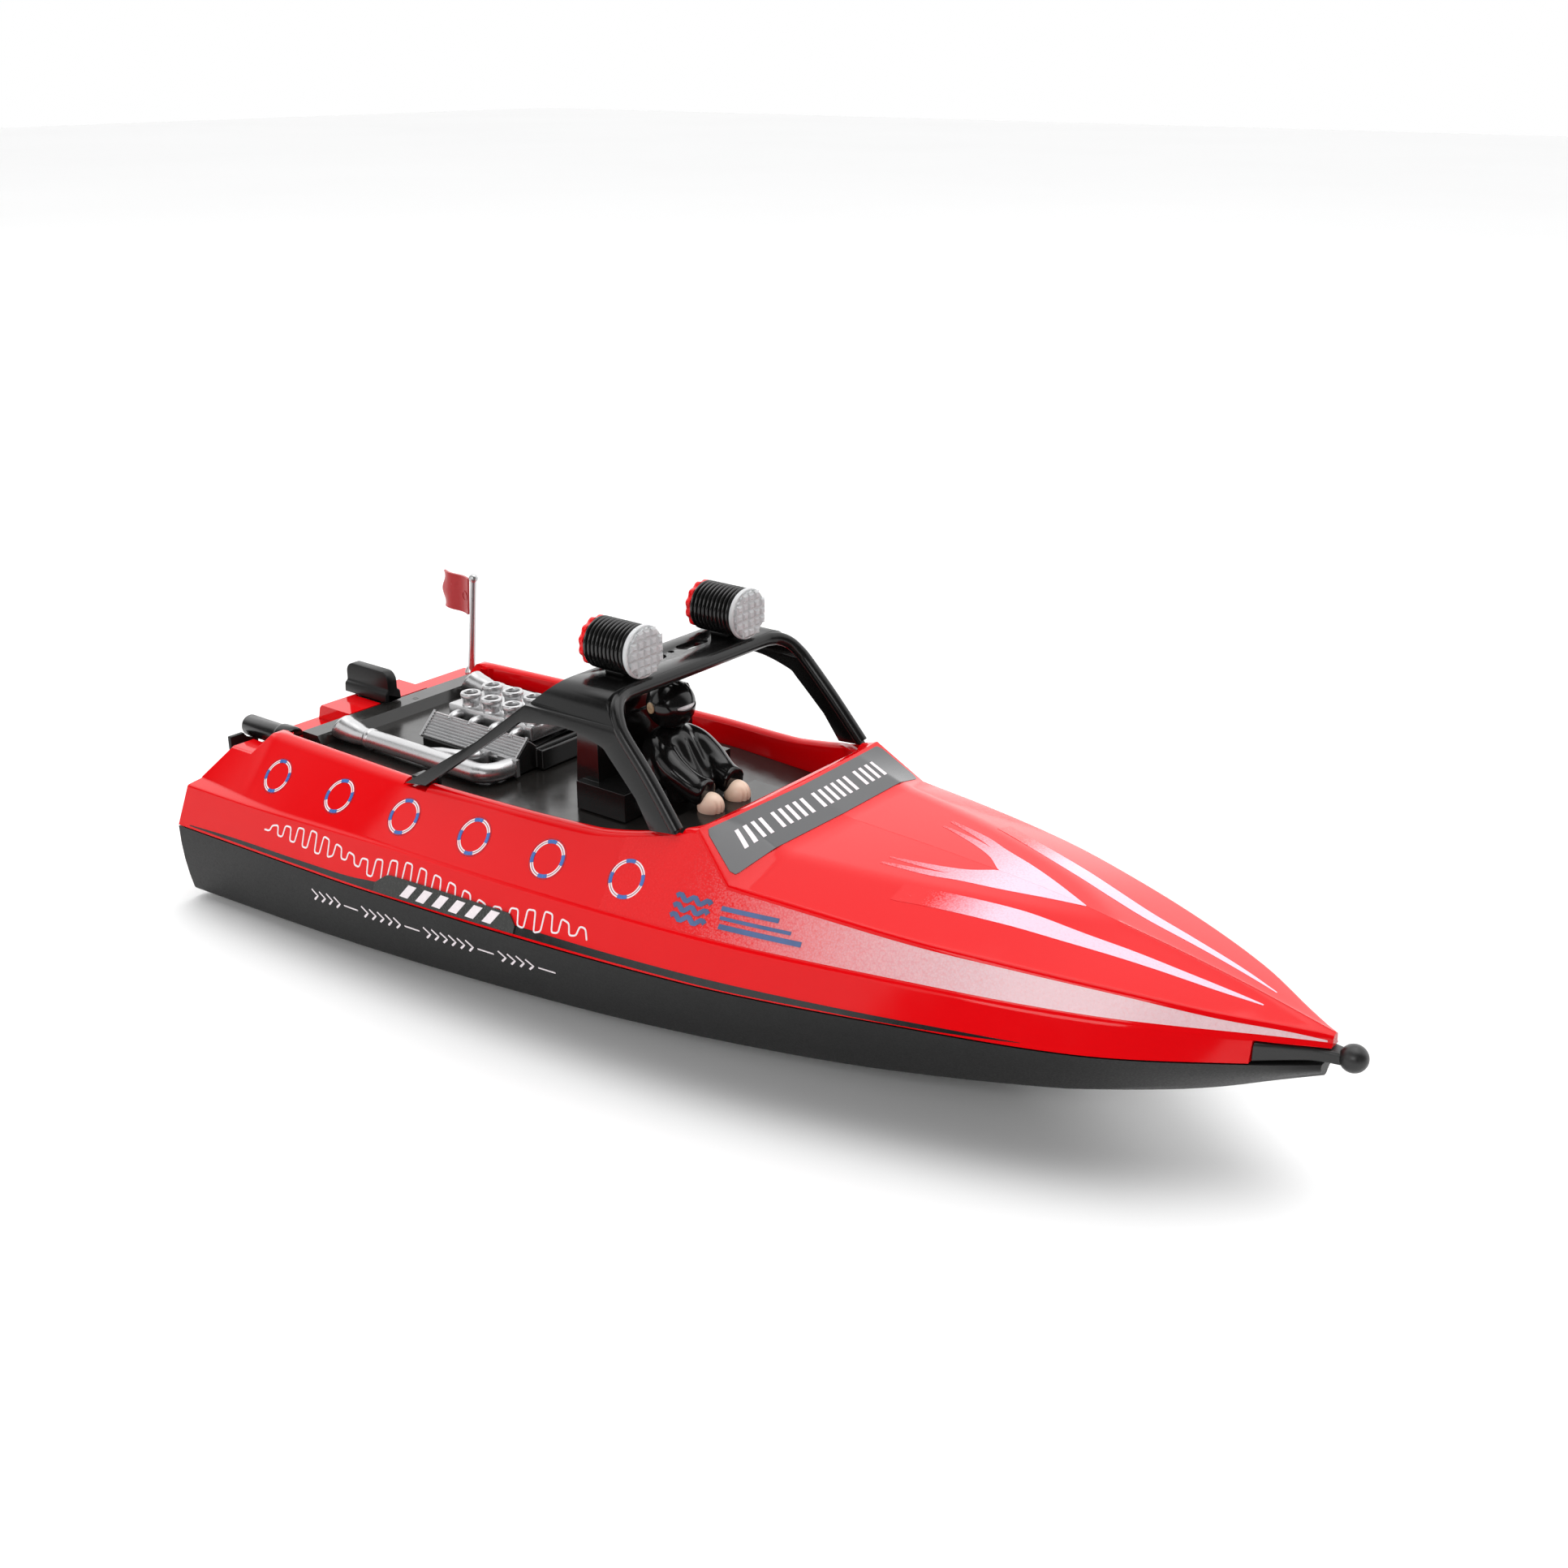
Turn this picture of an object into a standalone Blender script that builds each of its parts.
"""A 260 mm radio-controlled jet boat, modelled as the pieces it comes apart into.

Frame: +X towards the bow, +Y to port, +Z up. The origin is under the middle of the boat, on the surface it
stands on. Lengths in this file are millimetres, and MM turns them into Blender's metres when a mesh is made.
"""

import bmesh
import bpy
import math
from mathutils import Matrix, Vector

MM = 0.001
GAP = 0.3

# Driving dimensions.
LENGTH = 260.0
BEAM = 98.0
HEIGHT = 80.0
STERN = -LENGTH / 2
BOW = LENGTH / 2
HALF_BEAM = BEAM / 2
WALL = 1.6

# Deck levels.
FLANGE_TOP = 34.2
FLANGE_BOTTOM = 32.4
FLANGE_WIDTH = 3.0
SEAL_HEIGHT = 0.7
DECK_UNDER = FLANGE_TOP + SEAL_HEIGHT + 2 * GAP
DECK_TOP = DECK_UNDER + 1.2
STRIP_TOP = 39.0
STERN_DECK = 35.3

# The hatch opening and the stern's levels along the boat.
OPENING_AFT = -112.0
OPENING_FRONT = 8.4
BEVEL_TOP_X = -124.5
STERN_DECK_FRONT = -117.6
GUNWALE_AFT = -111.5
GUNWALE_WIDTH = 2.6
WINDSHIELD_TOP_X = 9.6
WINDSHIELD_FOOT_X = 19.3
BUMPER_X = 113.0
TIP_X = 124.0

# Jet drive.
SHAFT_Z = 11.0
PUMP_BORE = 7.5
PUMP_OUTER = 9.0
PUMP_END = -112.5
NOZZLE_X = -119.0
TILLER = 9.0
TILLER_Z = 19.4
BATTERY_Z = 8.0
HORN_X = -84.0
HORN_Y = 17.0

# Roll cage and lamps.
PLATE_TOP = 69.0
PLATE_THICKNESS = 1.6
BEAD_RADIUS = 1.25
LAMP_Y = 16.2
LAMP_RADIUS = 5.25
LAMP_Z = PLATE_TOP + GAP + LAMP_RADIUS
LENS_RADIUS = HEIGHT - LAMP_Z
LAMP_REAR = -26.4
LAMP_FRONT = -15.9

# Stern pipe: height and place across the boat.
PIPE_CENTRE = (-27.0, 36.8)

# Latch.
LATCH_X = -117.6
TONGUE_HALF = 2.2
BLOCK_AFT = -122.1


# ---------------------------------------------------------------- helpers


def rail(*points):
    """A smooth curve through (x, value) points that never overshoots them."""
    xs = [p[0] for p in points]
    ys = [p[1] for p in points]
    last = len(xs) - 1
    chords = [(ys[i + 1] - ys[i]) / (xs[i + 1] - xs[i]) for i in range(last)]
    slopes = [chords[0]]
    for before, after in zip(chords, chords[1:]):
        slopes.append(0.0 if before * after <= 0 else 2 * before * after / (before + after))
    slopes.append(chords[-1])

    def value(x):
        x = min(max(x, xs[0]), xs[-1])
        i = min(max(sum(1 for s in xs if s <= x) - 1, 0), last - 1)
        span = xs[i + 1] - xs[i]
        t = (x - xs[i]) / span
        start = (1 + 2 * t) * (1 - t) ** 2 * ys[i] + t * (1 - t) ** 2 * span * slopes[i]
        end = t * t * (3 - 2 * t) * ys[i + 1] + t * t * (t - 1) * span * slopes[i + 1]
        return start + end

    return value


def blend(a, b, t):
    return tuple(p + (q - p) * t for p, q in zip(a, b))


def material(name, colour, roughness, metallic=0.0):
    m = bpy.data.materials.new(name)
    m.use_nodes = True
    shader = m.node_tree.nodes["Principled BSDF"]
    shader.inputs["Base Color"].default_value = (*colour, 1.0)
    shader.inputs["Roughness"].default_value = roughness
    shader.inputs["Metallic"].default_value = metallic
    return m


def solid(name, points, faces):
    """A closed mesh object from points in millimetres, with its faces pointing out."""
    mesh = bpy.data.meshes.new(name)
    mesh.from_pydata([tuple(c * MM for c in p) for p in points], [], faces)
    bm = bmesh.new()
    bm.from_mesh(mesh)
    bmesh.ops.remove_doubles(bm, verts=bm.verts, dist=0.00002)
    bmesh.ops.recalc_face_normals(bm, faces=bm.faces)
    bm.to_mesh(mesh)
    bm.free()
    obj = bpy.data.objects.new(name, mesh)
    bpy.context.collection.objects.link(obj)
    return obj


def loft(name, loops):
    """Closed loops of equal length, joined in order and capped at both ends."""
    count = len(loops[0])
    points = [p for loop in loops for p in loop]
    faces = [tuple(range(count)), tuple(range(len(points) - count, len(points)))]
    for i in range(len(loops) - 1):
        for j in range(count):
            k = (j + 1) % count
            a = i * count
            faces.append((a + j, a + k, a + count + k, a + count + j))
    return solid(name, points, faces)


def prism(name, outline, low, high, axis="Z"):
    """A flat outline extruded along an axis; outline points are the other two coordinates in X, Y, Z order."""
    place = {
        "X": lambda p, d: (d, p[0], p[1]),
        "Y": lambda p, d: (p[0], d, p[1]),
        "Z": lambda p, d: (p[0], p[1], d),
    }[axis]
    return loft(name, [[place(p, low) for p in outline], [place(p, high) for p in outline]])


def box(name, x0, x1, y0, y1, z0, z1):
    return prism(name, [(x0, y0), (x1, y0), (x1, y1), (x0, y1)], z0, z1)


def ring_point(axis, centre, along, radius, angle):
    c = radius * math.cos(angle)
    s = radius * math.sin(angle)
    x, y, z = centre
    if axis == "X":
        return (x + along, y + c, z + s)
    if axis == "Y":
        return (x + c, y + along, z + s)
    return (x + c, y + s, z + along)


def turned(name, profile, centre, axis="X", segments=24, lobes=0, lobe_depth=0.0):
    """A solid of revolution; profile is (distance along the axis, radius). Lobes scallop the rim."""
    loops = []
    for along, radius in profile:
        loop = []
        for i in range(segments):
            angle = 2 * math.pi * i / segments
            r = radius - lobe_depth * (0.5 + 0.5 * math.cos(lobes * angle)) if lobes else radius
            loop.append(ring_point(axis, centre, along, r, angle))
        loops.append(loop)
    return loft(name, loops)


def ball_profile(radius, step=20):
    """Half-circle profile, with poles just wide enough to cap."""
    angles = [math.radians(a) for a in range(180, -1, -step)]
    return [(radius * math.cos(a), max(radius * math.sin(a), 0.05)) for a in angles]


def cylinder(name, centre, radius, low, high, axis="X", segments=24):
    return turned(name, [(low, radius), (high, radius)], centre, axis, segments)


def swept(name, path, radii, sides=10):
    """A round tube along a path of points, with a radius at each point."""
    loops = []
    for i, p in enumerate(path):
        ahead = Vector(path[min(i + 1, len(path) - 1)])
        behind = Vector(path[max(i - 1, 0)])
        along = (ahead - behind).normalized()
        side = along.cross(Vector((0, 0, 1)))
        side = side.normalized() if side.length > 0.05 else Vector((0, 1, 0))
        lift = side.cross(along)
        loop = []
        for k in range(sides):
            angle = 2 * math.pi * (k + 0.5) / sides
            q = Vector(p) + radii[i] * (math.cos(angle) * side + math.sin(angle) * lift)
            loop.append(tuple(q))
        loops.append(loop)
    return loft(name, loops)


def combine(obj, other, operation):
    """Applies a boolean of obj with other, and removes other."""
    modifier = obj.modifiers.new(operation.lower(), "BOOLEAN")
    modifier.operation = operation
    modifier.object = other
    evaluated = obj.evaluated_get(bpy.context.evaluated_depsgraph_get())
    mesh = bpy.data.meshes.new_from_object(evaluated)
    obj.modifiers.remove(modifier)
    obj.data = mesh
    bpy.data.objects.remove(other)
    return obj


def cut(obj, *cutters):
    for cutter in cutters:
        combine(obj, cutter, "DIFFERENCE")
    return obj


def join(obj, *others):
    for other in others:
        combine(obj, other, "UNION")
    return obj


def rounded(obj, width, segments=2, angle=40.0):
    """Rounds the edges sharper than an angle with a Bevel modifier."""
    modifier = obj.modifiers.new("rounded", "BEVEL")
    modifier.width = width * MM
    modifier.segments = segments
    modifier.limit_method = "ANGLE"
    modifier.angle_limit = math.radians(angle)
    return obj


def mirrored(points):
    """A half outline from starboard-centre to port-centre order, closed by its mirror image across y = 0."""
    other = [(p[0], -p[1], p[2]) for p in reversed(points) if abs(p[1]) > 1e-6]
    return list(points) + other


def corner(x, y, radius, start, steps=3):
    """Points of a quarter circle that rounds an outline's corner; start is its first angle in degrees."""
    return [
        (
            x + radius * math.cos(math.radians(start + 90 * i / steps)),
            y + radius * math.sin(math.radians(start + 90 * i / steps)),
        )
        for i in range(steps + 1)
    ]


def finish(obj, finish_material, parent=None):
    """Gives the object its material and smooth round faces, and parents it where it stands."""
    obj.data.materials.clear()
    obj.data.materials.append(finish_material)
    obj.data.shade_smooth()
    obj.data.set_sharp_from_angle(angle=math.radians(35))
    if parent:
        obj.parent = parent
        obj.matrix_parent_inverse = Matrix.Translation(-parent.location)
    return obj


def axis_empty(name, x, y, z):
    empty = bpy.data.objects.new(name, None)
    empty.location = (x * MM, y * MM, z * MM)
    bpy.context.collection.objects.link(empty)
    return empty


# ---------------------------------------------------------------- hull lines

seam_y = rail((-130, 49), (-77, 48.9), (-50, 47.9), (-31, 46.9), (15, 42.4), (61, 32.1), (88, 23.8), (113, 9.4), (123, 2.2))
seam_z = rail((-130, 18.5), (15, 22.6), (88, 24.6), (123, 25.4))
chine_y = rail((-130, 46.8), (-85, 45), (-18, 38.4), (34, 28), (79, 13.5), (104, 4.2), (123, 1.2))
chine_z = rail((-130, 1.7), (-85, 2.8), (-18, 4.8), (34, 6.8), (79, 10), (104, 15.6), (123, 23.4))
keel_z = rail((-130, 0), (40, 0), (60, 1.2), (79, 4.6), (95, 9.8), (105, 13.9), (115, 18.8), (123, 22.6))
pad_y = rail((-130, 8), (20, 7), (60, 3), (123, 0.5))
band_y = rail((-130, 45.3), (-110, 45.3), (-77, 45.1), (-50, 44.5), (-31, 43.7), (15, 39.5), (61, 29.6), (88, 21.4), (113, 8.4), (124, 1.4))
ledge_z = rail((-130, 27.9), (-107, 28.4), (-60, 30.3), (-20, 30.9), (47, 31.3), (85, 31.1), (113, 30.2), (124, 29.2))
ledge_step = rail((-130, 3.9), (-95, 0.9), (124, 0.4))
gunwale_y = rail((-111.5, 32.7), (-85, 33.8), (-62, 34.7), (-37, 34.3), (-21.5, 33.3), (-7, 32), (2, 30.5), (9.6, 29.2))
gunwale_z = rail((-111.5, 40.4), (-62, 41.3), (-37, 42), (-15, 42.6), (-7, 43.7), (2, 45.7), (9.6, 48))
sheer_y = rail((19.3, 32.5), (33, 31), (46, 29.3), (58, 27.2), (76, 22.1), (92, 16.6), (107, 10.5), (118, 4), (124, 0.9))
sheer_z = rail((19.3, 40.2), (33, 39.7), (58, 38.3), (76, 37), (92, 35.5), (107, 33.5), (118, 31.7), (124, 30.6))
ridge_y = rail((22, 20.9), (45, 16.1), (67.4, 8.9), (87, 0.5), (124, 0.3))
ridge_z = rail((22, 43.8), (45, 42.8), (67.4, 41.2), (87, 38.4), (107, 34.8), (124, 30.9))


def floor_z(x, y):
    """Height of the inside of the lower shell's bottom."""
    inner = chine_y(x) - 1.4 * WALL
    t = min(max((y - pad_y(x)) / (inner - pad_y(x)), 0), 1)
    return keel_z(x) + WALL + t * (chine_z(x) + 0.2 * WALL - keel_z(x))


def stations(start, end, step):
    count = max(1, round((end - start) / step))
    return [start + (end - start) * i / count for i in range(count + 1)]


def shell_half(x, top):
    """The outside of the upper shell at x, from the seam up to the centreline; top is its three upper points."""
    ledge = (x, band_y(x) - ledge_step(x), ledge_z(x))
    edge = top[0]
    return [
        (x, seam_y(x), seam_z(x) + GAP),
        (x, band_y(x), ledge_z(x) - 0.5),
        ledge,
        blend(ledge, edge, 0.92),
        (edge[0], edge[1] - 0.08 * (ledge[1] - edge[1]) - 0.5, edge[2]),
        *top[1:],
    ]


def shell_loops():
    loops = []
    flat = {STERN: (41.2, 28.3), BEVEL_TOP_X: (36, STERN_DECK), STERN_DECK_FRONT: (36, STERN_DECK), -113.4: (33, 40)}
    for x, (y, z) in flat.items():
        loops.append(mirrored(shell_half(x, [(x, y, z), (x, y - GUNWALE_WIDTH, z), (x, 0, z)])))
    for x in stations(GUNWALE_AFT, 3.0, 8.5):
        y = gunwale_y(x)
        z = gunwale_z(x)
        loops.append(mirrored(shell_half(x, [(x, y, z), (x, y - GUNWALE_WIDTH, z), (x, 0, z)])))
    x = WINDSHIELD_TOP_X
    loops.append(mirrored(shell_half(x, [(x, 29.2, 48), (x + 0.8, 20, 48.1), (x + 1.6, 0, 48.2)])))
    x = WINDSHIELD_FOOT_X
    loops.append(mirrored(shell_half(x, [(x, 32.5, 40.2), (x + 2.7, 20.9, 43.8), (x + 3.4, 0, 44.1)])))
    for x in stations(30, TIP_X, 7.8):
        top = [(x, sheer_y(x), sheer_z(x)), (x, ridge_y(x), ridge_z(x)), (x, 0, ridge_z(x) + 0.2)]
        loops.append(mirrored(shell_half(x, top)))
    return loops


def cavity_half(x, top):
    return [
        (x, seam_y(x) - 1.2 * WALL, seam_z(x) - 2),
        (x, seam_y(x) - 1.2 * WALL, seam_z(x) + 1),
        (x, band_y(x) - 1.3 * WALL, ledge_z(x) - 1.2),
        (x, band_y(x) - ledge_step(x) - 1.4 * WALL, ledge_z(x)),
        *top,
    ]


def panel_y(x, z):
    """Half-breadth of the side panel at a height between the ledge and the gunwale."""
    low = band_y(x) - ledge_step(x)
    high = gunwale_y(x)
    return low + (high - low) * (z - ledge_z(x)) / (gunwale_z(x) - ledge_z(x))


def cavity_loops():
    loops = []
    for x, top, inset in ((STERN + WALL, 28.6, 3.2), (BEVEL_TOP_X + 1, FLANGE_BOTTOM, 6)):
        y = band_y(x) - ledge_step(x) - inset
        loops.append(mirrored(cavity_half(x, [(x, y, top), (x, 20, top), (x, 0, top)])))
    for x in stations(GUNWALE_AFT, WINDSHIELD_TOP_X, 12):
        top = FLANGE_BOTTOM
        loops.append(mirrored(cavity_half(x, [(x, panel_y(x, top) - 2, top), (x, 20, top), (x, 0, top)])))
    x = WINDSHIELD_FOOT_X
    loops.append(mirrored(cavity_half(x, [(x, 30, 38.2), (x, 19.5, 42), (x, 0, 42.3)])))
    for x in stations(30, 106, 10):
        drop = 1.2 * WALL
        top = [
            (x, sheer_y(x) - 2.2, sheer_z(x) - drop),
            (x, max(ridge_y(x) - 1, 0.3), ridge_z(x) - drop),
            (x, 0, ridge_z(x) - drop + 0.1),
        ]
        loops.append(mirrored(cavity_half(x, top)))
    return loops


def opening_half(inset):
    """Half outline of the hatch opening, from aft to front, set in from the gunwale's inner face."""
    aft = OPENING_AFT + inset
    front = OPENING_FRONT - inset
    radius = 4.0
    side_y = gunwale_y(aft + radius) - GUNWALE_WIDTH - inset
    points = [(aft, 0)]
    points += [(2 * (aft + radius) - x, y) for x, y in corner(aft + radius, side_y - radius, radius, 0)]
    for x in stations(aft + 16, front - 4, 11):
        points.append((x, gunwale_y(x) - GUNWALE_WIDTH - inset))
    points.append((front, gunwale_y(front) - GUNWALE_WIDTH - inset - 3))
    points.append((front, 0))
    return points


def opening_prism(name, inset, low, high):
    half = opening_half(inset)
    outline = half + [(x, -y) for x, y in reversed(half) if y > 1e-6]
    return prism(name, outline, low, high)


def seated(name, x0, x1, half, top):
    """A block that stands on the hull's inside bottom, with a gap, and is flat on top."""
    loops = []
    for x in stations(x0, x1, 8):
        side = floor_z(x, half) + 3 * GAP
        pad = min(pad_y(x), half - 1)
        middle = floor_z(x, 0) + 2 * GAP
        loops.append([(x, -half, top), (x, -half, side), (x, -pad, middle), (x, pad, middle), (x, half, side), (x, half, top)])
    return loft(name, loops)


# ---------------------------------------------------------------- materials

red_plastic = material("red_plastic", (0.80, 0.010, 0.012), 0.25)
dark_plastic = material("dark_plastic", (0.030, 0.030, 0.032), 0.45)
black_gloss = material("black_gloss", (0.008, 0.008, 0.009), 0.12)
black_satin = material("black_satin", (0.012, 0.012, 0.013), 0.30)
silver_paint = material("silver_paint", (0.55, 0.56, 0.57), 0.32, 0.85)
clear_plastic = material("clear_plastic", (0.85, 0.88, 0.90), 0.05)
skin_paint = material("skin_paint", (0.80, 0.55, 0.40), 0.45)
seal_rubber = material("seal_rubber", (0.02, 0.02, 0.02), 0.80)
steel = material("steel", (0.60, 0.60, 0.61), 0.25, 1.0)
brass = material("brass", (0.72, 0.53, 0.22), 0.30, 1.0)
board_green = material("board_green", (0.03, 0.20, 0.07), 0.50)
battery_blue = material("battery_blue", (0.03, 0.08, 0.35), 0.35)
wire_red = material("wire_red", (0.60, 0.02, 0.02), 0.45)


# ---------------------------------------------------------------- hull


def make_hull_bottom():
    """Black lower shell: a shallow V with a flat keel pad, open at the top, cut for the intake and the nozzle."""
    outside = []
    for x in stations(STERN, 123, 11):
        half = [(x, 0, keel_z(x)), (x, pad_y(x), keel_z(x)), (x, chine_y(x), chine_z(x)), (x, seam_y(x), seam_z(x))]
        flare = blend(half[2], half[3], 0.45)
        half.insert(3, (x, flare[1] + 0.6, flare[2]))
        outside.append([(p[0], -p[1], p[2]) for p in reversed(half)] + half[1:])
    inside = []
    for x in stations(STERN + 2, 106, 13):
        half = [
            (x, 0, keel_z(x) + WALL),
            (x, pad_y(x), keel_z(x) + WALL),
            (x, chine_y(x) - 1.4 * WALL, chine_z(x) + 1.2 * WALL),
            (x, seam_y(x) - 1.2 * WALL, seam_z(x) + 2),
        ]
        inside.append([(p[0], -p[1], p[2]) for p in reversed(half)] + half[1:])
    hull = loft("hull_bottom", outside)
    cut(hull, loft("inside", inside))
    cut(hull, box("intake", -92, -61, -8.7, 8.7, -2, 4))
    cut(hull, prism("nozzle_port", [(-10.5, 3.4), (10.5, 3.4), (10.5, 17.2), (-10.5, 17.2)], -131, -127, "X"))
    for side in (-1, 1):
        cut(hull, cylinder("sensor_hole", (-30, side * 20, 0), 1.5, -1, 6, "Z", 12))
    return finish(hull, dark_plastic)


def make_hull_top():
    """Red upper shell: side bands and panels, gunwales, windshield frame and hood, open over the cockpit."""
    hull = loft("hull_top", shell_loops())
    cut(hull, loft("inside", cavity_loops()))
    slope = [(BEVEL_TOP_X - 1, STERN_DECK + 0.01), (STERN_DECK_FRONT, STERN_DECK + 0.01), (OPENING_AFT + 1, 38.4)]
    slope += [(OPENING_AFT + 1, 45), (BEVEL_TOP_X - 1, 45)]
    cut(hull, prism("stern_slope", slope, -29.8, 29.8, "Y"))
    block = [(BLOCK_AFT - 1.5, 35.1), (BLOCK_AFT - 0.7, 38.2), (BLOCK_AFT, STRIP_TOP), (OPENING_AFT + 0.5, STRIP_TOP)]
    block.append((OPENING_AFT + 0.5, 34.6))
    join(hull, prism("latch_block", block, -12, 12, "Y"))
    cut(hull, opening_prism("opening", 0, FLANGE_TOP, 60))
    cut(hull, opening_prism("way_in", FLANGE_WIDTH, 28, 60))
    slot = TONGUE_HALF + GAP
    cut(hull, box("tongue_slot", BLOCK_AFT + 1, OPENING_AFT + 2, -slot, slot, 36, 60))
    cut(hull, box("cam_room", BLOCK_AFT + 0.2, OPENING_AFT + 2, -4.4, 4.4, 28, 36.9))
    cut(hull, cylinder("pipe_channel", (0, *PIPE_CENTRE), 3.5, -132, OPENING_AFT - 0.8, "X", 20))
    nose = [(BUMPER_X, 18), (BUMPER_X, ledge_z(BUMPER_X) - 0.7), (TIP_X + 1, ledge_z(TIP_X) - 0.7), (TIP_X + 1, 18)]
    cut(hull, prism("bumper_room", nose, -20, 20, "Y"))
    for side in (-1, 1):
        cut(hull, box("rear_foot_notch", -66.4, -59.4, side * 30.5, side * 36.5, 40.1, 46))
        cut(hull, box("front_foot_notch", -1.6, 6.2, side * 26, side * 31.9, 44.9, 52))
    cut(hull, cylinder("pole_hole", (-118.5, 32.6, 0), 1.3, 33.4, 40, "Z", 12))
    return finish(hull, red_plastic)


def make_bow_bumper():
    """Soft wedge that closes the bow below the hood's tip, ending in a ball."""
    loops = []
    wedge = rail((BUMPER_X + GAP, 8.7), (118, 5.3), (122, 2.6), (124.6, 1.7), (126.2, 1.5))
    top = rail((BUMPER_X + GAP, 29.1), (120, 28.5), (124.6, 28.2), (126.2, 28.2))
    low = rail((BUMPER_X + GAP, 25.6), (121, 25.9), (124.6, 25.9), (126.2, 26.0))
    for x in (BUMPER_X + GAP, 116, 119, 122, 124.6, 126.2):
        y, high, base = wedge(x), top(x), low(x)
        loops.append([(x, -y, base), (x, y, base), (x, y, high - 0.6), (x, 0.9 * y, high), (x, -0.9 * y, high), (x, -y, high - 0.6)])
    bumper = loft("bow_bumper", loops)
    join(bumper, turned("ball", ball_profile(2.5), (BOW - 2.5, 0, 27.3), "X", 16))
    return finish(bumper, seal_rubber)


def make_hatch_seal():
    seal = opening_prism("hatch_seal", 0.6, FLANGE_TOP + GAP, FLANGE_TOP + GAP + SEAL_HEIGHT)
    cut(seal, opening_prism("inner", FLANGE_WIDTH - 0.5, 30, 40))
    return finish(seal, seal_rubber)


def make_intake_grille():
    """Slotted plate in the intake, flush with the keel pad."""
    grille = box("intake_grille", -91.7, -61.3, -8.4, 8.4, 0.2, 1.5)
    for y in (-6, -3, 0, 3, 6):
        cut(grille, box("slot", -89, -64, y - 1, y + 1, -1, 3))
    return finish(grille, black_satin)


def make_jet_duct():
    """Intake scoop that rises into the pump's round bore."""
    scoop = [(-99, 2.2), (-99, 19.6), (-90, 19.6), (-57, 4.6), (-57, 2.2)]
    duct = prism("jet_duct", scoop, -10.5, 10.5, "Y")
    join(duct, cylinder("pump_case", (0, 0, SHAFT_Z), PUMP_OUTER, PUMP_END, -98, "X", 28))
    inner = [(-97.4, -1), (-97.4, 18.1), (-91, 18.1), (-60, 4), (-60, -1)]
    cut(duct, prism("passage", inner, -9, 9, "Y"))
    cut(duct, cylinder("bore", (0, 0, SHAFT_Z), PUMP_BORE, PUMP_END - 2, -94, "X", 28))
    cut(duct, cylinder("shaft_way", (0, 0, SHAFT_Z), 2.4, -82, -60, "X", 12))
    return finish(duct, black_satin)


def make_stator():
    """Hub with four straight vanes behind the impeller."""
    hub = turned("stator", [(-111.6, 1.2), (-110.5, 2.2), (-107.2, 2.6)], (0, 0, SHAFT_Z), "X", 16)
    reach = PUMP_BORE - GAP
    join(hub, box("vane", -111, -107.6, -reach, reach, SHAFT_Z - 0.45, SHAFT_Z + 0.45))
    join(hub, box("vane", -111.1, -107.5, -0.45, 0.45, SHAFT_Z - reach, SHAFT_Z + reach))
    return finish(hub, black_satin)


def make_nozzle_housing():
    """Box in the stern around the steering nozzle, open aft to the port in the transom."""
    shell = box("nozzle_housing", -127.6, PUMP_END + WALL, -18.5, 18.5, 2.6, 24)
    cut(shell, box("inside", -129, PUMP_END, -17.3, 17.3, 3.8, 22.8))
    cut(shell, cylinder("case_way", (0, 0, SHAFT_Z), PUMP_OUTER + GAP, PUMP_END - 1, PUMP_END + 3, "X", 28))
    cut(shell, box("rod_way", PUMP_END - 1, PUMP_END + 3, 8, 16.8, 20.6, 22.8))
    return finish(shell, black_satin)


def make_motor():
    profile = [(-40.3, 2.6), (-38.6, 2.6), (-38.6, 7.3), (-38, 7.8), (-14, 7.8), (-13, 7), (-13, 2.6), (-11.6, 2.6)]
    can = turned("motor", profile, (0, 0, SHAFT_Z), "X", 28)
    return finish(can, steel)


def make_motor_mount():
    mount = seated("motor_mount", -36, -17, 11, 10)
    cut(mount, cylinder("cradle", (0, 0, SHAFT_Z), 7.8 + GAP, -40, -10, "X", 28))
    return finish(mount, black_satin)


def make_battery_tray():
    tray = seated("battery_tray", -3, 45, 15, 12)
    cut(tray, box("inside", -1.7, 43.7, -13.7, 13.7, BATTERY_Z - GAP, 14))
    return finish(tray, black_satin)


def make_battery():
    return finish(rounded(box("battery", -1.4, 43.4, -13.4, 13.4, BATTERY_Z, BATTERY_Z + 16), 2.0, 2), battery_blue)


def make_circuit_board():
    """Receiver and speed-control board with its tallest components."""
    low = 8.0
    board = box("circuit_board", -52, -14, -34, -16, low, low + 1.6)
    join(board, box("chip", -40, -31, -30, -21, low + 1.3, low + 3))
    join(board, box("crystal", -27, -21, -32, -28, low + 1.3, low + 4.3))
    join(board, cylinder("capacitor", (-47, -28, 0), 3, low + 1.3, low + 9, "Z", 16))
    for x in (-49.5, -16.5):
        join(board, cylinder("standoff", (x, -22, 0), 1.6, floor_z(x, 24) + GAP, low + 0.3, "Z", 10))
    return finish(board, board_green)


def make_steering_servo():
    servo = box("steering_servo", -97, -79, HORN_Y - 4.5, HORN_Y + 4.5, 4.2, 16.6)
    join(servo, cylinder("gearbox", (HORN_X, HORN_Y, 0), 3.8, 16, 17.8, "Z", 20))
    return finish(servo, black_satin)


def make_water_sensor(name, side):
    pin = turned(name, [(-0.4 + 2.0, 1.1), (5.6, 1.1), (5.6, 2.4), (7, 2.4)], (-30, side * 20, 0), "Z", 12)
    return finish(pin, steel)


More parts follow.
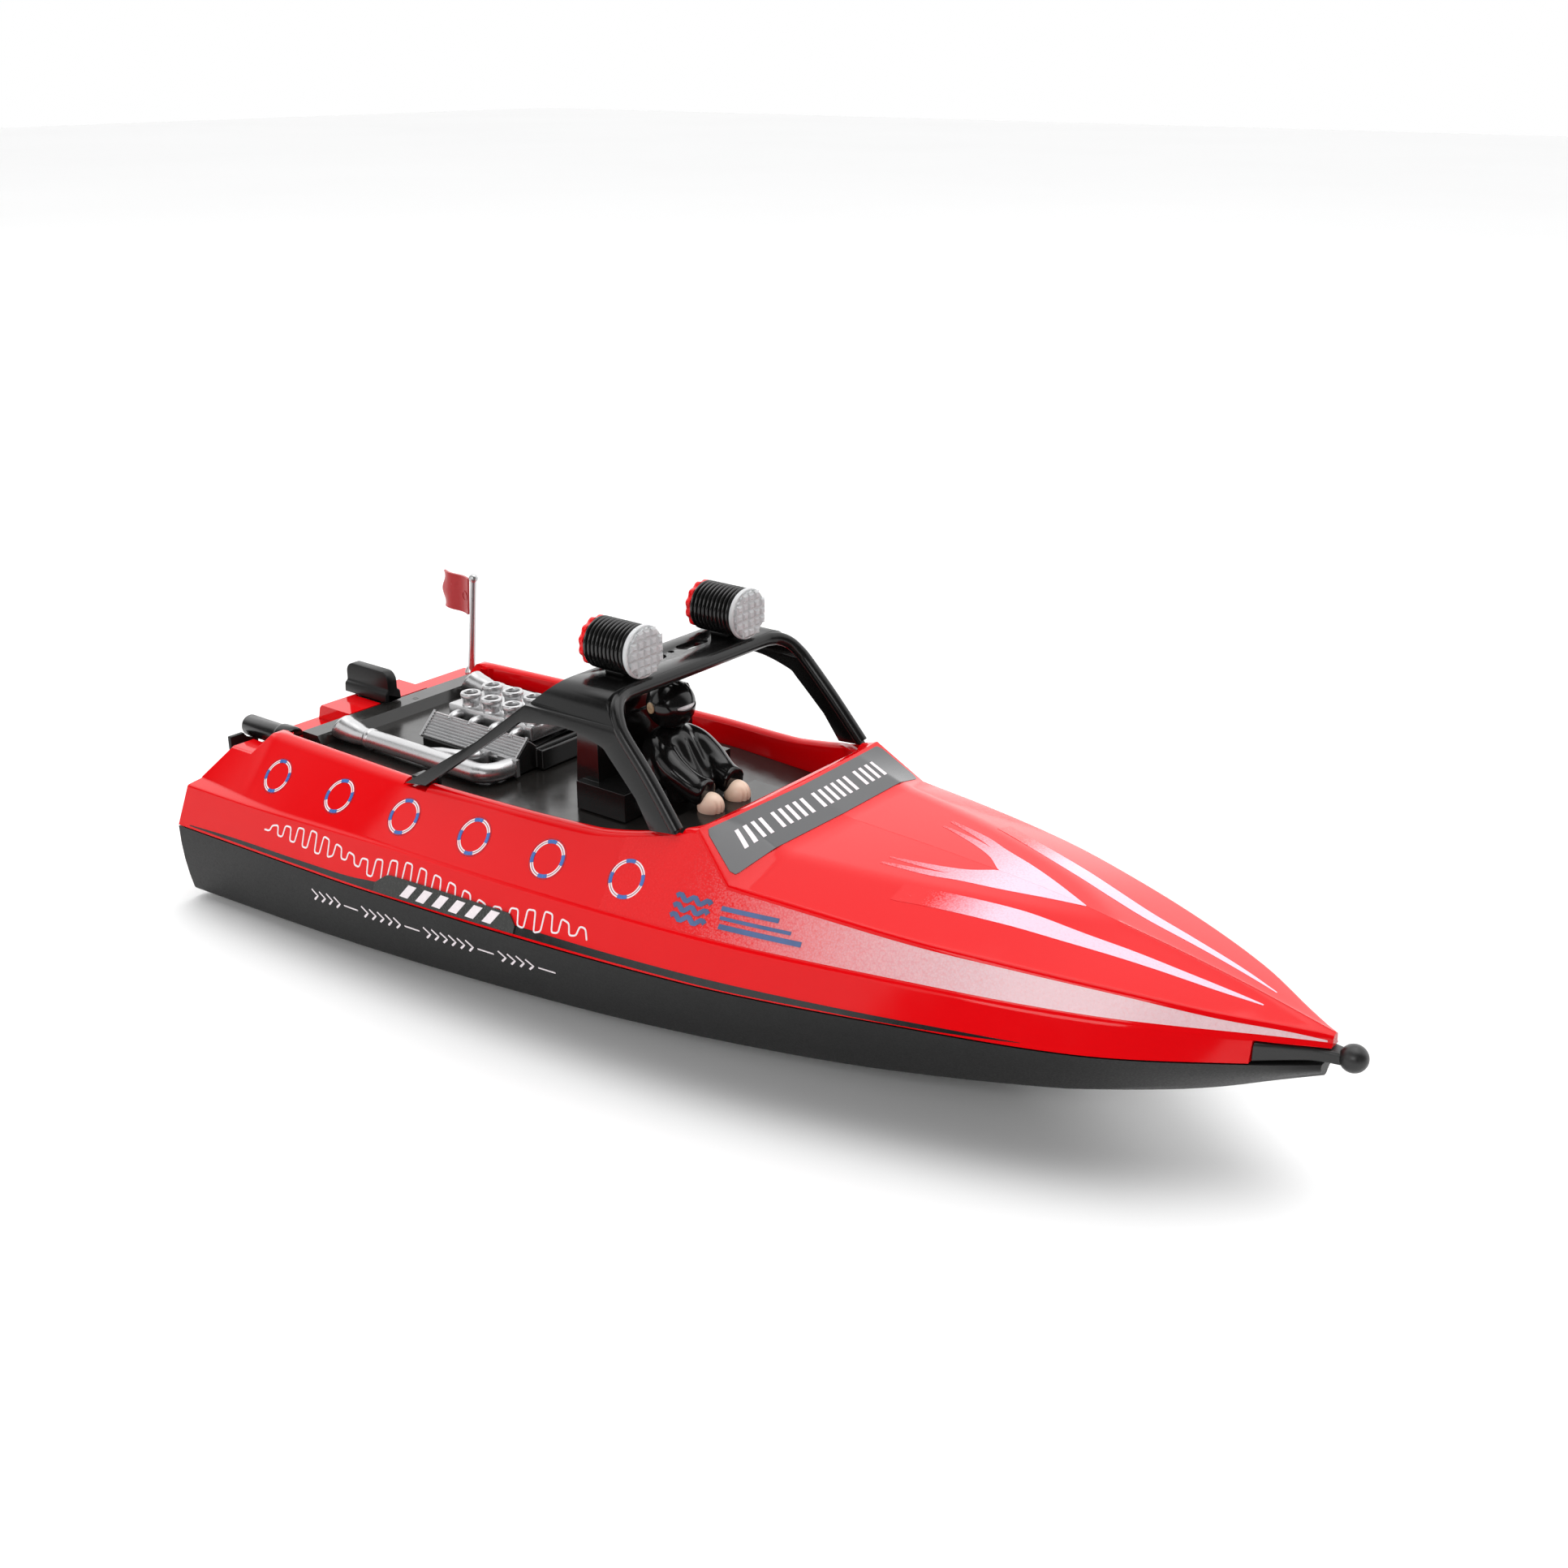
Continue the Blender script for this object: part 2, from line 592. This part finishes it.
def make_shaft_tube():
    tube = cylinder("shaft_tube", (0, 0, SHAFT_Z), 2.1, -79, -53, "X", 14)
    cut(tube, cylinder("bore", (0, 0, SHAFT_Z), 1.5, -80, -52, "X", 14))
    return finish(tube, brass)


def make_stern_pipe():
    """Black outlet pipe lying in its channel in the starboard stern deck."""
    profile = [(-130, 1.9), (-129.9, 2.3), (-129.3, 2.5), (-118.2, 2.5), (-117.4, 2.9), (-113.6, 2.9), (-113.2, 2.5)]
    pipe = turned("stern_pipe", profile, (0, *PIPE_CENTRE), "X", 20)
    cut(pipe, cylinder("bore", (0, *PIPE_CENTRE), 1.6, -131, -124, "X", 14))
    return finish(pipe, black_satin)


def make_pipe_bracket():
    """Small upright plate on the stern bevel, notched where the pipe lies in it."""
    outline = [(-129.9, 29.1), (-129.9, 35.7), (-128.7, 35.7), (-128.7, 30.6)]
    plate = prism("pipe_bracket", outline, -33.4, -25.8, "Y")
    cut(plate, cylinder("saddle", (0, *PIPE_CENTRE), 2.5 + GAP, -132, -126, "X", 20))
    return finish(plate, dark_plastic)


POLE_FOOT = (-118.6, 32.6, 33.7)
POLE_TOP = (-115.4, 32.6, 61.3)


def make_flag_pole():
    path = [POLE_FOOT, blend(POLE_FOOT, POLE_TOP, 0.1), blend(POLE_FOOT, POLE_TOP, 0.97)]
    pole = swept("flag_pole", path, [0.9, 0.9, 0.75], 12)
    collar = [(35.9, 1.5), (36.3, 1.5), (37.1, 1.1), (37.7, 0.8)]
    join(pole, turned("collar", collar, (-118.6, 32.6, 0), "Z", 16))
    join(pole, turned("ball", ball_profile(1.15, 30), POLE_TOP, "Z", 14))
    return finish(pole, silver_paint)


def make_flag():
    """Rippled flag that flies aft from the pole."""
    count = 8
    loops = []
    for i in range(count + 1):
        t = i / count
        low = (-118.0 - 10.2 * t, 51.5 + 0.3 * t)
        high = (-117.2 - 10.5 * t, 60.9 + 0.3 * t)
        y = 32.6 + 1.6 * t + 0.45 * math.sin(2 * math.pi * t)
        loops.append([(x, y + side, z) for (x, z), side in ((low, -0.35), (low, 0.35), (high, 0.35), (high, -0.35))])
    return finish(loft("flag", loops), red_plastic)


# ---------------------------------------------------------------- hatch

def on_hatch(obj, finish_material):
    return finish(obj, finish_material, hatch_axis)


def make_deck_cover():
    """Lift-off cockpit floor with the raised stern strip, the latch tongue and the console."""
    deck = opening_prism("deck_cover", GAP + 0.05, DECK_UNDER, DECK_TOP)
    strip = [(-111.5, DECK_UNDER + 0.1), (-111.5, STRIP_TOP), (-106.3, STRIP_TOP), (-104.8, DECK_TOP - 0.2), (-104.8, DECK_UNDER + 0.1)]
    join(deck, prism("strip", strip, -26, 26, "Y"))
    join(deck, box("tongue", BLOCK_AFT + 1 + GAP, -111, -TONGUE_HALF, TONGUE_HALF, 37.2, STRIP_TOP - 0.1))
    cut(deck, cylinder("shank_hole", (LATCH_X, 0, 0), 1.3, 35, 41, "Z", 16))
    join(deck, box("console", -11.6, 6.4, -14, 14, DECK_TOP - 0.5, 38.8))
    for side in (-1, 1):
        y = sorted((side * 13.7, side * 23.5))
        join(deck, box("wing", -1.5, 6.7, y[0], y[1], DECK_TOP - 0.5, 40.4))
    return on_hatch(deck, black_gloss)


def make_engine_base():
    """Black body of the V engine with a low nose at its front."""
    low = DECK_TOP + GAP
    outline = [(-12.6, low), (12.6, low), (12.6, 39.4), (7.9, 43.9), (5.6, 42), (-5.6, 42), (-7.9, 43.9), (-12.6, 39.4)]
    base = prism("engine_base", outline, -86.3, -56.4, "X")
    join(base, box("nose", -57, -54.3, -6.4, 6.4, low, 41.6))
    return on_hatch(base, black_gloss)


def make_engine_block():
    block = box("engine_block", -84.5, -60.4, -5.2, 5.2, 42 + GAP, 45)
    join(block, box("nose", -61, -57.6, -2.2, 2.2, 42.4, 44.6))
    return on_hatch(rounded(block, 0.5, 1), silver_paint)


def make_intake_manifold():
    """Plate with two rows of four open intake stacks."""
    plate = box("intake_manifold", -83.5, -61.4, -5, 5, 45 + GAP, 46)
    for row in range(4):
        x = -79.4 + 6.6 * row
        for side in (-1, 1):
            centre = (x, side * 3.3, 0)
            profile = [(45.8, 1.9), (47.6, 1.9), (47.8, 2.35), (48.9, 2.35), (49.1, 2.2)]
            join(plate, turned("stack", profile, centre, "Z", 14))
            cut(plate, cylinder("mouth", centre, 1.5, 47, 50, "Z", 12))
    return on_hatch(plate, silver_paint)


def make_valve_cover(name, side):
    """Ribbed cover on one sloping bank of the engine."""
    upper = Vector((side * 8.15, 44.35))
    lower = Vector((side * 12.95, 39.75))
    run = (lower - upper).normalized()
    out = Vector((-run.y, run.x)) * side
    lift = 0.75
    ribs = 6
    outline = [upper, lower]
    length = (lower - upper).length
    for i in range(ribs):
        for step, height in ((0.08, 1.0), (0.5, 1.0), (0.58, 0.55), (0.95, 0.55)):
            t = 1 - (i + step) / ribs
            outline.append(upper + run * length * t + out * lift * height)
    cover = prism(name, [(p.x, p.y) for p in outline], -86, -56.7, "X")
    return on_hatch(cover, silver_paint)


def make_exhaust_pipe(name, side):
    """Pipe along the engine's side with a flared tail and a bend into the block."""
    y = 20 * side
    path = [(-104.6, y, 39.6), (-103, y, 39.7), (-99, y, 39.4), (-95.4, y, 39.2), (-94.6, y, 39.2), (-75, y, 39.2)]
    radii = [2.2, 2.4, 2.3, 1.9, 2.2, 2.1]
    for angle in range(0, 91, 18):
        a = math.radians(angle)
        path.append((-61.5 + 4.2 * math.sin(a), y - side * 4.2 * (1 - math.cos(a)), 39.2))
        radii.append(2.15)
    path.append((-57.3, side * 13.4, 39.2))
    radii.append(2.15)
    return on_hatch(swept(name, path, radii, 12), silver_paint)


def make_seat():
    """Moulded seat block with a high back."""
    low = DECK_TOP + GAP
    seat = box("seat", -34, -20.6, -17, 17, low, 43)
    join(seat, prism("back", [(-36, low), (-29.5, low), (-29.5, 55), (-30.5, 56.5), (-35, 56.5)], -15, 15, "Y"))
    join(seat, prism("headrest", [(-35.8, low), (-29.8, low), (-29.8, 61), (-35, 61)], -6, 6, "Y"))
    return on_hatch(seat, black_gloss)


HEAD = (-22.4, 0, 57.7)
HAND = (-8.6, 4.3, 41.5)


def make_driver_body():
    """Sitting figure in a loose suit, from the neck down to the console."""
    rows = [
        (39.1, -19.8, -12.6, 7.4),
        (42.7, -20.3, -12.6, 8.2),
        (43.4, -20.4, -13.0, 8.4),
        (43.5, -26.8, -13.2, 8.5),
        (46.5, -27.8, -15.4, 8.2),
        (49.4, -27.6, -17.2, 7.3),
        (51.2, -26.6, -18.4, 5.8),
        (52.4, -25.2, -19.8, 3.4),
    ]
    loops = []
    sides = 18
    for z, aft, front, half in rows:
        loop = []
        for i in range(sides):
            a = 2 * math.pi * i / sides
            loop.append(((aft + front) / 2 + (front - aft) / 2 * math.cos(a), half * math.sin(a), z))
        loops.append(loop)
    body = loft("driver_body", loops)
    for side in (-1, 1):
        arm = [(-22, side * 4.6, 50), (-17.4, side * 6.2, 46.8), (-13.5, side * 5.4, 43.8), (-11.6, side * 4.6, 42.4)]
        join(body, swept("arm", arm, [2.2, 3.0, 3.0, 2.7], 12))
        cut(body, turned("cuff", ball_profile(3.2), (-8.6, side * HAND[1], 41.5), "X", 18))
    return on_hatch(body, black_gloss)




def make_driver_helmet():
    helmet = turned("driver_helmet", ball_profile(5.2, 15), HEAD, "Z", 24)
    cut(helmet, box("visor_slot", HEAD[0] + 3, HEAD[0] + 8, -4.5, 4.5, HEAD[2] - 0.3, HEAD[2] + 1.9))
    return on_hatch(helmet, black_gloss)


def make_driver_visor():
    visor = turned("driver_visor", ball_profile(5.15, 15), HEAD, "Z", 24)
    keep = box("visor_box", HEAD[0] + 3.3, HEAD[0] + 8, -4.2, 4.2, HEAD[2], HEAD[2] + 1.6)
    combine(visor, keep, "INTERSECT")
    return on_hatch(visor, silver_paint)


def make_driver_hand(name, side):
    x, y, z = HAND
    return on_hatch(turned(name, ball_profile(2.6), (x, side * y, z), "X", 16), skin_paint)


def cage_side_y(x, z):
    """Half-breadth of the middle of the cage's side at a point of its outline."""
    return 35.47 - 0.0566 * x - 0.1094 * z


def make_roll_cage():
    """One moulding: two arched sides, a top plate that bends down to them, and a bead along the front edge."""
    outline = [
        (-65.6, 40.7), (-45.9, 53.7), (-33.2, 63.8), (-10.8, 63.8), (-8.7, 61.8), (-2.4, 55.1), (5.2, 46.1),
        (-0.8, 45.5), (-4.6, 51), (-11.4, 57.6), (-14.2, 59.6), (-23.2, 61.3), (-34.6, 60), (-59.8, 41.4),
    ]
    outer = [(29.8, 62.6), (29.6, 64), (28.8, 66), (27.4, 67.7), (25.6, 68.7), (23.4, PLATE_TOP)]
    inner = [(23.2, PLATE_TOP - PLATE_THICKNESS), (24.9, 67.1), (26.1, 66.2), (27.1, 64.9), (27.7, 63.6), (27.7, 62.6)]
    half = outer + inner
    arch = half[:6] + [(-y, z) for y, z in reversed(half[:6])] + [(-y, z) for y, z in reversed(half[6:])] + half[6:]
    cage = prism("roll_cage", arch, -34.4, -10.2, "X")
    cut(cage, prism("aft_edge", [(-40, 58), (-34.6, 62.6), (-26.6, 69.6), (-26.6, 75), (-40, 75)], -35, 35, "Y"))
    cut(cage, prism("front_edge", [(-5, 58), (-9.8, 62.6), (-14.4, 67.4), (-15.2, 75), (-5, 75)], -35, 35, "Y"))
    low = PLATE_TOP - PLATE_THICKNESS - 2
    for side in (-1, 1):
        loops = []
        for offset in (-1.1, 1.1):
            loops.append([(x, side * (cage_side_y(x, z) + offset), z) for x, z in outline])
        join(cage, loft("side", loops))
        rear_y = sorted((side * 30.9, side * 34.6))
        join(cage, box("rear_clip", -64.9, -60.6, rear_y[0], rear_y[1], 40.6, 42.4))
        rear_y = sorted((side * 29.8, side * 31.4))
        join(cage, box("rear_tab", -64.7, -60.8, rear_y[0], rear_y[1], DECK_TOP + GAP, 42.2))
        front_y = sorted((side * 26.1, side * 30.4))
        join(cage, box("front_clip", 0.6, 4.2, front_y[0], front_y[1], 46.3, 47.5))
        front_y = sorted((side * 26, side * 27))
        join(cage, box("front_tab", 0.8, 4.1, front_y[0], front_y[1], DECK_TOP + GAP, 47.4))
        near, far = sorted((side * 4, side * 9))
        slot = corner(-22, far, 1.7, 0, 4) + corner(-22, far, 1.7, 90, 4)[1:]
        slot += corner(-22, near, 1.7, 180, 4) + corner(-22, near, 1.7, 270, 4)[1:]
        cut(cage, prism("slot", slot, low, PLATE_TOP + 2))
        join(cage, cylinder("boss", (-19, side * 13, 0), 2.2, low, low + 2.5, "Z", 14))
    cut(cage, cylinder("centre_hole", (-22, 0, 0), 0.7, low, PLATE_TOP + 2, "Z", 12))
    port = [(4.9, 30.1, 46.5), (-2.4, 29.5, 55.1), (-8.7, 29.1, 61.8), (-10.6, 28.5, 64), (-12.2, 27.3, 65.9)]
    port += [(-13.6, 25.5, 67), (-14.5, 23.4, 67.4), (-14.9, 20.4, 67.5)]
    radii = [BEAD_RADIUS] * 5 + [1.35, 1.45, 1.45]
    bead = [(x, -y, z) for x, y, z in port] + port[::-1]
    join(cage, swept("bead", bead, radii + radii[::-1], 12))
    return on_hatch(cage, black_satin)


def make_cage_screw(name, side):
    low = PLATE_TOP - PLATE_THICKNESS - 2 - GAP
    screw = turned(name, [(low - 1.0, 0.9), (low - 0.7, 1.4), (low, 1.5)], (-19, side * 13, 0), "Z", 12)
    return on_hatch(screw, steel)


def make_lamp(side_name, side):
    """Spot lamp: finned housing, clear lens in front and a scalloped cap behind."""
    centre = (0, side * LAMP_Y, LAMP_Z)
    fins = 8
    pitch = (LAMP_FRONT - LAMP_REAR) / fins
    profile = []
    for i in range(fins):
        start = LAMP_REAR + i * pitch
        profile += [(start, LAMP_RADIUS - 0.45), (start + 0.2 * pitch, LAMP_RADIUS), (start + 0.7 * pitch, LAMP_RADIUS)]
        profile += [(start + 0.9 * pitch, LAMP_RADIUS - 0.45)]
    on_hatch(turned(f"lamp_housing_{side_name}", profile, centre, "X", 22), black_satin)
    front = LAMP_FRONT + GAP - 0.1
    lens = [(front, LENS_RADIUS), (front + 1.2, LENS_RADIUS), (front + 1.8, 4.9), (front + 2.0, 3.6)]
    on_hatch(turned(f"lamp_lens_{side_name}", lens, centre, "X", 24), clear_plastic)
    rear = LAMP_REAR - GAP
    cap = [(rear - 1.5, 4.2), (rear - 1.2, 5.2), (rear, 5.2)]
    on_hatch(turned(f"lamp_tail_{side_name}", cap, centre, "X", 48, lobes=12, lobe_depth=0.35), red_plastic)


# ---------------------------------------------------------------- moving pieces


def make_latch():
    """Quarter-turn latch: a knob on the hatch's tongue with a cam under the deck."""
    axis = axis_empty("latch_axis", LATCH_X, 0, STRIP_TOP)
    low = STRIP_TOP + GAP
    half = 7.5
    grip = [(LATCH_X - half, low + 0.1), (LATCH_X + half, low + 0.1)]
    grip += corner(LATCH_X + half - 2.4, low + 6.4 - 2.4, 2.4, 0, 4) + corner(LATCH_X - half + 2.4, low + 6.4 - 2.4, 2.4, 90, 4)
    knob = prism("latch_knob", grip, -1.5, 1.5, "Y")
    foot = [(LATCH_X - half, low), (LATCH_X + half, low), (LATCH_X + half - 0.4, low + 1.6), (LATCH_X - half + 0.4, low + 1.6)]
    join(knob, prism("foot", foot, -2.4, 2.4, "Y"))
    join(knob, cylinder("shank", (LATCH_X, 0, 0), 1.0, 34.9, low + 0.5, "Z", 16))
    finish(knob, black_satin, axis)
    cam = box("latch_cam", LATCH_X - 3.2, LATCH_X + 3.2, -1.9, 1.9, 35, 36.6)
    cut(cam, cylinder("shank_hole", (LATCH_X, 0, 0), 1.3, 34, 38, "Z", 16))
    finish(cam, black_satin, axis)


def make_drive_line():
    """Shaft, coupling and impeller, which turn together about the pump's axis."""
    axis = axis_empty("drive_axis", 0, 0, SHAFT_Z)
    finish(cylinder("drive_shaft", (0, 0, SHAFT_Z), 1.2, -104.8, -46.2, "X", 14), steel, axis)
    coupling = cylinder("shaft_coupling", (0, 0, SHAFT_Z), 3.4, -51, -40.6, "X", 18)
    cut(coupling, cylinder("bore", (0, 0, SHAFT_Z), 1.5, -52, -45.9, "X", 14))
    finish(coupling, brass, axis)
    impeller = turned("impeller", [(-106.4, 1.6), (-105.6, 2.5), (-100.6, 2.5), (-100, 2.1)], (0, 0, SHAFT_Z), "X", 18)
    blades = 3
    for i in range(blades):
        join(impeller, impeller_blade(2 * math.pi * i / blades))
    cut(impeller, cylinder("bore", (0, 0, SHAFT_Z), 1.5, -105.2, -99, "X", 14))
    finish(impeller, brass, axis)


def impeller_blade(turn):
    """Flat blade pitched about its own radius, from inside the hub to just short of the bore."""
    blade = box("blade", -2.9, 2.9, -0.45, 0.45, 1.9, PUMP_BORE - 0.6)
    pitch = Matrix.Rotation(math.radians(35), 4, "Z")
    around = Matrix.Rotation(turn, 4, "X")
    centre = Matrix.Translation((-103.1 * MM, 0, SHAFT_Z * MM))
    blade.data.transform(centre @ around @ pitch)
    return blade


def make_steering_nozzle():
    """Nozzle that swings about a vertical axis, with its tiller above."""
    axis = axis_empty("nozzle_axis", NOZZLE_X, 0, SHAFT_Z)
    profile = [(-9.5, 4.9), (-2.5, 6.1), (3, 6.4)]
    nozzle = turned("steering_nozzle", profile, (NOZZLE_X, 0, SHAFT_Z), "X", 24)
    cut(nozzle, turned("passage", [(-10.5, 3.9), (-2.5, 5.1), (4, 5.4)], (NOZZLE_X, 0, SHAFT_Z), "X", 24))
    join(nozzle, cylinder("post", (NOZZLE_X, 0, 0), 2, SHAFT_Z + 5.8, TILLER_Z + 0.4, "Z", 14))
    join(nozzle, box("tiller", NOZZLE_X - 1.9, NOZZLE_X + 1.9, -1.7, TILLER + 1.8, TILLER_Z, TILLER_Z + 1.1))
    cut(nozzle, cylinder("pin_hole", (NOZZLE_X, TILLER, 0), 1.1, TILLER_Z - 1, TILLER_Z + 3, "Z", 12))
    finish(nozzle, black_satin, axis)


def make_servo_horn():
    axis = axis_empty("horn_axis", HORN_X, HORN_Y, TILLER_Z)
    horn = box("servo_horn", HORN_X - 1.8, HORN_X + 1.8, HORN_Y - 2.4, HORN_Y + TILLER + 1.8, TILLER_Z, TILLER_Z + 1.1)
    join(horn, cylinder("hub", (HORN_X, HORN_Y, 0), 2.3, 18.1, TILLER_Z + 1.3, "Z", 16))
    cut(horn, cylinder("pin_hole", (HORN_X, HORN_Y + TILLER, 0), 1.1, TILLER_Z - 2, TILLER_Z + 3, "Z", 12))
    finish(horn, black_satin, axis)


def make_pushrod():
    """Bent wire from the servo horn to the nozzle's tiller."""
    axis = axis_empty("pushrod_axis", HORN_X, HORN_Y + TILLER, TILLER_Z)
    height = TILLER_Z + 1.1 + GAP + 0.7
    rod_end = (NOZZLE_X, TILLER, height)
    horn_end = (HORN_X, HORN_Y + TILLER, height)
    rod = swept("pushrod", [rod_end, horn_end], [0.7, 0.7], 8)
    for x, y, z in (rod_end, horn_end):
        join(rod, cylinder("pin", (x, y, 0), 0.75, TILLER_Z - 0.3, z + 0.4, "Z", 10))
    finish(rod, steel, axis)


def make_leads():
    """Insulated leads held inside the hull between the battery, the board and the motor."""
    motor_path = [(-11.9, 3, 15), (-9, 2, 16.5), (-8, -6, 17), (-11, -13, 14.5), (-17, -18, 11), (-19, -19, 10.7)]
    finish(swept("motor_lead", motor_path, [0.8] * 6, 8), wire_red)
    battery_path = [(-2.6, -8, 17), (-4.5, -9.5, 16.6), (-6, -16, 14), (-10, -22, 11), (-15.4, -24, 10.8), (-19, -24, 10.8)]
    finish(swept("battery_lead", battery_path, [0.9] * 6, 8), wire_red)


for leftover in list(bpy.data.objects):
    bpy.data.objects.remove(leftover)
hatch_axis = axis_empty("hatch_axis", 0, 0, DECK_UNDER)

make_hull_bottom()
make_hull_top()
make_bow_bumper()
make_hatch_seal()
make_intake_grille()
make_jet_duct()
make_stator()
make_nozzle_housing()
make_motor()
make_motor_mount()
make_battery_tray()
make_battery()
make_circuit_board()
make_steering_servo()
make_water_sensor("water_sensor_port", 1)
make_water_sensor("water_sensor_starboard", -1)
make_shaft_tube()
make_stern_pipe()
make_pipe_bracket()
make_flag_pole()
make_flag()
make_deck_cover()
make_engine_base()
make_engine_block()
make_intake_manifold()
make_seat()
make_driver_body()
make_driver_helmet()
make_driver_visor()
make_roll_cage()
for side_word, sign in (("port", 1), ("starboard", -1)):
    make_valve_cover(f"valve_cover_{side_word}", sign)
    make_exhaust_pipe(f"exhaust_pipe_{side_word}", sign)
    make_driver_hand(f"driver_hand_{side_word}", sign)
    make_cage_screw(f"cage_screw_{side_word}", sign)
    make_lamp(side_word, sign)
make_latch()
make_drive_line()
make_steering_nozzle()
make_servo_horn()
make_pushrod()
make_leads()
